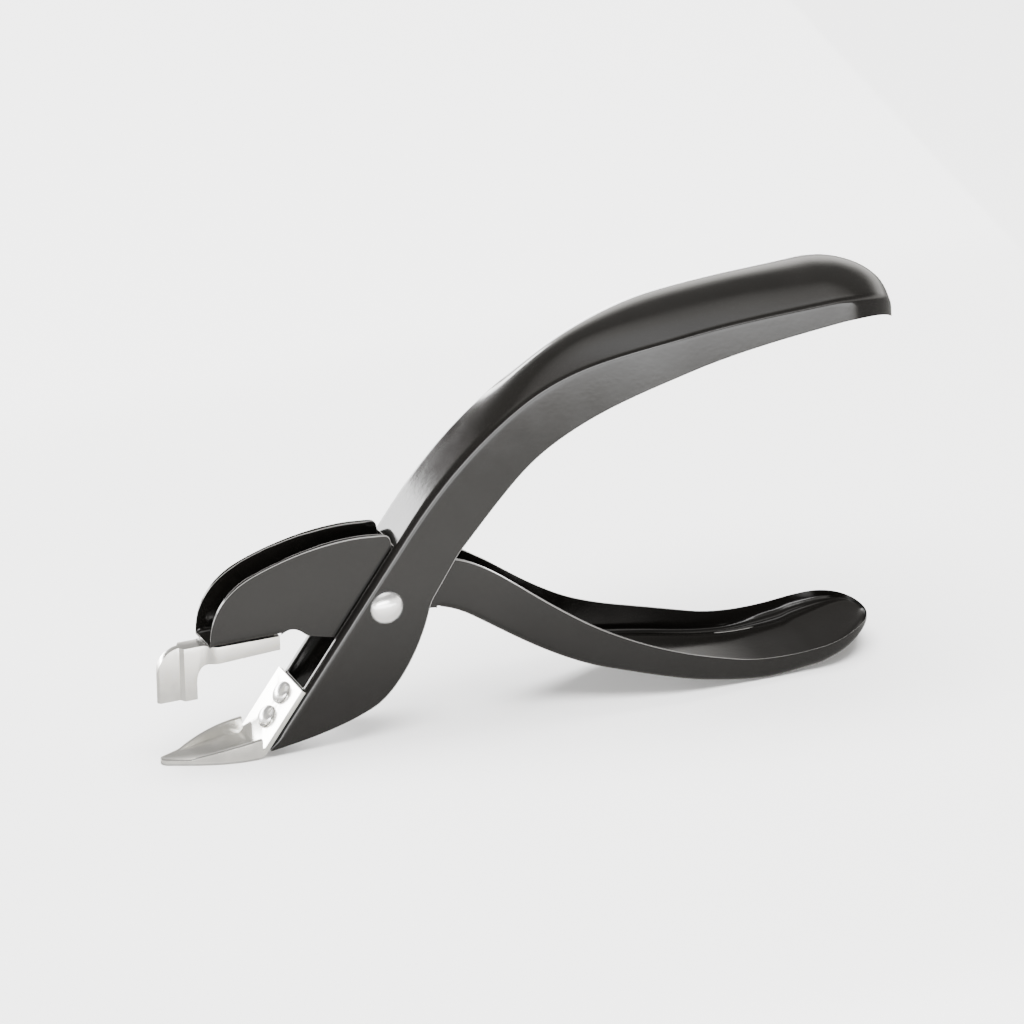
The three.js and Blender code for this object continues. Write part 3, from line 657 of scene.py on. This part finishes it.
def plate_surface():
    """Node group: the fine drawing lines and soft cloudiness of plated steel."""
    group, enter, leave = surface_group("plate_surface", "Metal", (0.9, 0.9, 0.88), 0.3)
    nodes, links = group.nodes, group.links
    where = nodes.new("ShaderNodeTexCoord").outputs["Object"]
    stretch = nodes.new("ShaderNodeMapping")
    stretch.inputs["Scale"].default_value = (0.08, 1, 0.08)
    links.new(where, stretch.inputs["Vector"])
    lines = noise(group, stretch.outputs["Vector"], 5200, 2)
    cloud = noise(group, where, 210, 4)
    dull = remap(group, cloud, 0.3, 0.7, 0.9, 1.04)
    links.new(tinted(group, enter.outputs["Metal"], dull), leave.inputs["Color"])
    rough = nodes.new("ShaderNodeMath")
    rough.operation = "MULTIPLY_ADD"
    links.new(cloud, rough.inputs[0])
    rough.inputs[1].default_value = 0.14
    links.new(enter.outputs["Roughness"], rough.inputs[2])
    links.new(rough.outputs[0], leave.inputs["Roughness"])
    links.new(lines, leave.inputs["Height"])
    return group


PLATE = plate_surface()


def plated_steel(name, metal, roughness, metallic, lines):
    """Plated or drawn steel; lines is the depth of its drawing lines."""
    made = bpy.data.materials.new(name)
    made.use_nodes = True
    nodes, links = made.node_tree.nodes, made.node_tree.links
    shader = nodes["Principled BSDF"]
    plate = nodes.new("ShaderNodeGroup")
    plate.node_tree = PLATE
    plate.inputs["Metal"].default_value = (*metal, 1)
    plate.inputs["Roughness"].default_value = roughness
    links.new(plate.outputs["Color"], shader.inputs["Base Color"])
    links.new(plate.outputs["Roughness"], shader.inputs["Roughness"])
    bump = nodes.new("ShaderNodeBump")
    bump.inputs["Strength"].default_value = lines
    bump.inputs["Distance"].default_value = 0.00002
    links.new(plate.outputs["Height"], bump.inputs["Height"])
    links.new(bump.outputs["Normal"], shader.inputs["Normal"])
    shader.inputs["Metallic"].default_value = metallic
    return made


nickel = plated_steel("nickel_plate", (0.88, 0.87, 0.83), 0.13, 0.95, 0.2)
tongue = deburred_copy("tongue_blade", "tongue_strip", 0.16)
tongue.data.materials.append(nickel)
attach(tongue, "frame")
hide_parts("tongue_blade")


# --- Presser -----------------------------------------------------------------
# A second plated strip under the upper jaw. It narrows to a fin, folded flat on
# itself, whose lower edge folds the staple's crown down over the tongue.
presser = deburred_copy("staple_presser", "presser_strip", 0.14)
presser.data.materials.append(nickel)
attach(presser, "lever")
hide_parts("staple_presser")


# --- Rivets ------------------------------------------------------------------
# Domed mild steel rivets, zinc plated and tumbled bright. Each is a shank with
# a pressed head on the side that shows and a smaller head formed on the other.
ROUND = 48
DOME_STEPS = 9
DOME_TIP = 0.02                     # the dome closes to this share of its radius
PIVOT_SHANK, PIVOT_GRIP, PIVOT_SEAT = 2.4, 15.2, -7.6
PRESSER_SEAT = 30.25
TONGUE_SHEET = 1.3


def raise_dome(piece, level, radius, rise, up):
    """Extrudes the shank's end face outwards and up to a dome."""
    edit(piece, "FACE")
    end = max(piece.data.polygons, key=lambda f: up * f.center.z)
    end.select = True
    bpy.ops.object.mode_set(mode="EDIT")
    span = max((v.co - end.center).length for v in (piece.data.vertices[i] for i in end.vertices))
    place, last = level, span
    for i in range(DOME_STEPS + 1):
        turn = math.pi / 2 * i / DOME_STEPS
        height = level + up * rise * math.sin(turn)
        reach = max(radius * math.cos(turn), DOME_TIP * radius)
        bpy.ops.mesh.extrude_region_move(
            TRANSFORM_OT_translate={"value": (0, 0, height - place)})
        bpy.ops.transform.resize(
            value=(reach / last, reach / last, 1), center_override=(0, 0, height))
        place, last = height, reach
    bpy.ops.object.mode_set(mode="OBJECT")


def rivet(name, node, body, head, shank, grip, foot, at, lean):
    """head and foot are (radius, rise); the head's seat is at `at`, its axis leans from +Z."""
    bpy.ops.object.select_all(action="DESELECT")
    bpy.ops.mesh.primitive_cylinder_add(
        vertices=ROUND, radius=shank * MM, depth=grip * MM, location=(0, 0, -grip / 2 * MM))
    made = bpy.context.object
    made.name = made.data.name = name
    bpy.ops.object.transform_apply(location=True)
    raise_dome(made, 0, head[0] * MM, head[1] * MM, 1)
    raise_dome(made, -grip * MM, foot[0] * MM, foot[1] * MM, -1)
    rim = made.modifiers.new("tumbled", "BEVEL")
    rim.width = 0.12 * MM
    rim.segments = 2
    rim.limit_method = "ANGLE"
    rim.angle_limit = math.radians(50)
    bpy.ops.object.modifier_apply(modifier="tumbled")
    made.rotation_euler = lean
    made.location = at
    bpy.ops.object.transform_apply(location=True, rotation=True)
    bpy.ops.object.shade_smooth_by_angle(angle=math.radians(40))
    made.data.materials.append(rivet_metal)
    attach(made, body)
    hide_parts(node)


rivet_metal = plated_steel("zinc_plate", (0.97, 0.965, 0.955), 0.14, 0.88, 0.1)
rivet("pivot_rivet_domed", "pivot_rivet", "frame",
      (4.05, 2.0), PIVOT_SHANK, PIVOT_GRIP, (3.6, 1.5),
      (PIVOT_X, PIVOT_SEAT * MM, PIVOT_Z), (math.pi / 2, 0, 0))
for name, along in (("upper", -30.4), ("lower", -37.0)):
    seat = on_slope(along, WEB_OFFSET + TONGUE_SHEET)
    rivet("tongue_rivet_domed_" + name, "tongue_rivet_" + name, "frame",
          (2.75, 1.5), 1.5, 2.65, (2.3, 0.9),
          (seat.x * MM + PIVOT_X, 0, seat.y * MM), (0, -JAW_SLOPE, 0))
for name, x in (("front", -37.4), ("rear", -29.2)):
    rivet("presser_rivet_domed_" + name, "presser_rivet_" + name, "lever",
          (2.2, 1.0), 1.5, 2.6, (2.0, 0.8),
          (x * MM + PIVOT_X, 0, PRESSER_SEAT * MM), (0, 0, 0))


# --- Bush and washers --------------------------------------------------------
# Turned and stamped rings on the pivot rivet: the bush keeps the lever's walls
# apart inside the spring, and a washer takes up each gap beside the frame.
BORE = 2.5
BUSH_OUTER, BUSH_WIDTH, BUSH_ROUND = 3.0, 7.2, 0.12
WASHER_OUTER, WASHER_WIDTH, WASHER_ROUND = 4.2, 1.3, 0.2
WASHER_OUT = 5.55                   # middle of each washer, off the middle plane


def ring(name, node, outer, width, y, round_off):
    """A flat ring on the pivot rivet, its edges rounded over."""
    bpy.ops.object.select_all(action="DESELECT")
    bpy.ops.mesh.primitive_circle_add(vertices=ROUND, radius=BORE * MM)
    made = bpy.context.object
    made.name = made.data.name = name
    bpy.ops.object.mode_set(mode="EDIT")
    bpy.ops.mesh.select_all(action="SELECT")
    bpy.ops.mesh.extrude_edges_move(TRANSFORM_OT_translate={"value": (0, 0, 0)})
    bpy.ops.transform.resize(value=(outer / BORE, outer / BORE, 1), center_override=(0, 0, 0))
    bpy.ops.mesh.select_all(action="SELECT")
    bpy.ops.mesh.normals_make_consistent(inside=False)
    bpy.ops.object.mode_set(mode="OBJECT")
    wall = made.modifiers.new("width", "SOLIDIFY")
    wall.thickness = width * MM
    wall.offset = 0
    rim = made.modifiers.new("tumbled", "BEVEL")
    rim.width = round_off * MM
    rim.segments = 3
    rim.limit_method = "ANGLE"
    rim.angle_limit = math.radians(50)
    for modifier in ("width", "tumbled"):
        bpy.ops.object.modifier_apply(modifier=modifier)
    made.rotation_euler = (math.pi / 2, 0, 0)
    made.location = (PIVOT_X, y * MM, PIVOT_Z)
    bpy.ops.object.transform_apply(location=True, rotation=True)
    bpy.ops.object.shade_smooth_by_angle(angle=math.radians(40))
    made.data.materials.append(rivet_metal)
    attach(made, "frame")
    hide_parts(node)


ring("bush_turned", "pivot_bush", BUSH_OUTER, BUSH_WIDTH, 0, BUSH_ROUND)
for name, y in (("near", -WASHER_OUT), ("far", WASHER_OUT)):
    ring("washer_" + name + "_stamped", "pivot_washer_" + name,
         WASHER_OUTER, WASHER_WIDTH, y, WASHER_ROUND)


# --- Return spring -----------------------------------------------------------
# One length of drawn spring wire, wound round the bush. One leg lies under the
# upper handle's back and the other over the lower handle's floor, and the
# turns between them wind up as the handles close.
WIRE = 0.6                          # the wire's radius
WIRE_SIDES = 14
COIL = 3.85
COIL_SPAN = 5.4
COIL_STEPS = 120
WHOLE_TURNS = 4
UP_START = math.pi / 2 + JAW_SLOPE  # where the upper leg leaves the coil
LEG_RISE = 0.26                     # slope at which the lower leg sets out
SWEEP = WHOLE_TURNS * 2 * math.pi + (LEG_RISE - math.pi / 2 + 2 * math.pi - UP_START)
UPPER_LEG = (0.6, 17.0)
LOWER_LEG = ((0.6, 0), (11.0, 0), (0.4, -0.13), (0.4, -0.27), (0.4, -0.27), (0.4, 0), (8.2, 0))

bpy.ops.object.select_all(action="DESELECT")
bpy.ops.mesh.primitive_circle_add(
    vertices=WIRE_SIDES, radius=WIRE * MM, location=(COIL * MM, 0, 0))
spring = bpy.context.object
spring.name = spring.data.name = "spring_wound"
bpy.ops.object.transform_apply(location=True)
wind = spring.modifiers.new("wind", "SCREW")
wind.axis = "Y"
wind.angle = -SWEEP
wind.screw_offset = -COIL_SPAN * MM
wind.steps = wind.render_steps = COIL_STEPS
wind.use_merge_vertices = False
bpy.ops.object.modifier_apply(modifier="wind")
spring.rotation_euler = (0, -UP_START, 0)
spring.location = (PIVOT_X, COIL_SPAN / 2 * MM, PIVOT_Z)
bpy.ops.object.transform_apply(location=True, rotation=True)


def open_end(piece, near):
    """Selects the ring of vertices at the wire's end that is nearest to a point."""
    edit(piece, "VERT")
    bpy.ops.object.mode_set(mode="EDIT")
    bpy.ops.mesh.select_non_manifold(extend=False, use_multi_face=False, use_non_contiguous=False)
    bpy.ops.object.mode_set(mode="OBJECT")
    for vertex in piece.data.vertices:
        vertex.select = vertex.select and (vertex.co - near).length < 3 * WIRE * MM
    for edge in piece.data.edges:
        edge.select = all(piece.data.vertices[i].select for i in edge.vertices)
    bpy.ops.object.mode_set(mode="EDIT")


def coil_point(turn, y):
    """The middle of the wire, a turn round the pivot and y along it."""
    reach = COIL * MM
    return Vector((PIVOT_X + reach * math.cos(turn), y * MM, PIVOT_Z + reach * math.sin(turn)))


open_end(spring, coil_point(UP_START, COIL_SPAN / 2))
up = Vector((math.cos(JAW_SLOPE), 0, math.sin(JAW_SLOPE)))
for step in UPPER_LEG:
    bpy.ops.mesh.extrude_edges_move(TRANSFORM_OT_translate={"value": up * step * MM})
bpy.ops.mesh.edge_face_add()
bpy.ops.object.mode_set(mode="OBJECT")

open_end(spring, coil_point(LEG_RISE - math.pi / 2, -COIL_SPAN / 2))
heading = LEG_RISE
for step, turn in LOWER_LEG:
    heading += turn
    move = Vector((math.cos(heading), 0, math.sin(heading))) * step * MM
    bpy.ops.mesh.extrude_edges_move(TRANSFORM_OT_translate={"value": move})
bpy.ops.mesh.edge_face_add()
bpy.ops.mesh.select_all(action="SELECT")
bpy.ops.mesh.normals_make_consistent(inside=False)
bpy.ops.object.mode_set(mode="OBJECT")
bpy.ops.object.shade_smooth_by_angle(angle=math.radians(50))
spring.data.materials.append(plated_steel("spring_wire", (0.42, 0.41, 0.39), 0.3, 0.9, 0.15))
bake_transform(spring)
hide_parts("return_spring")
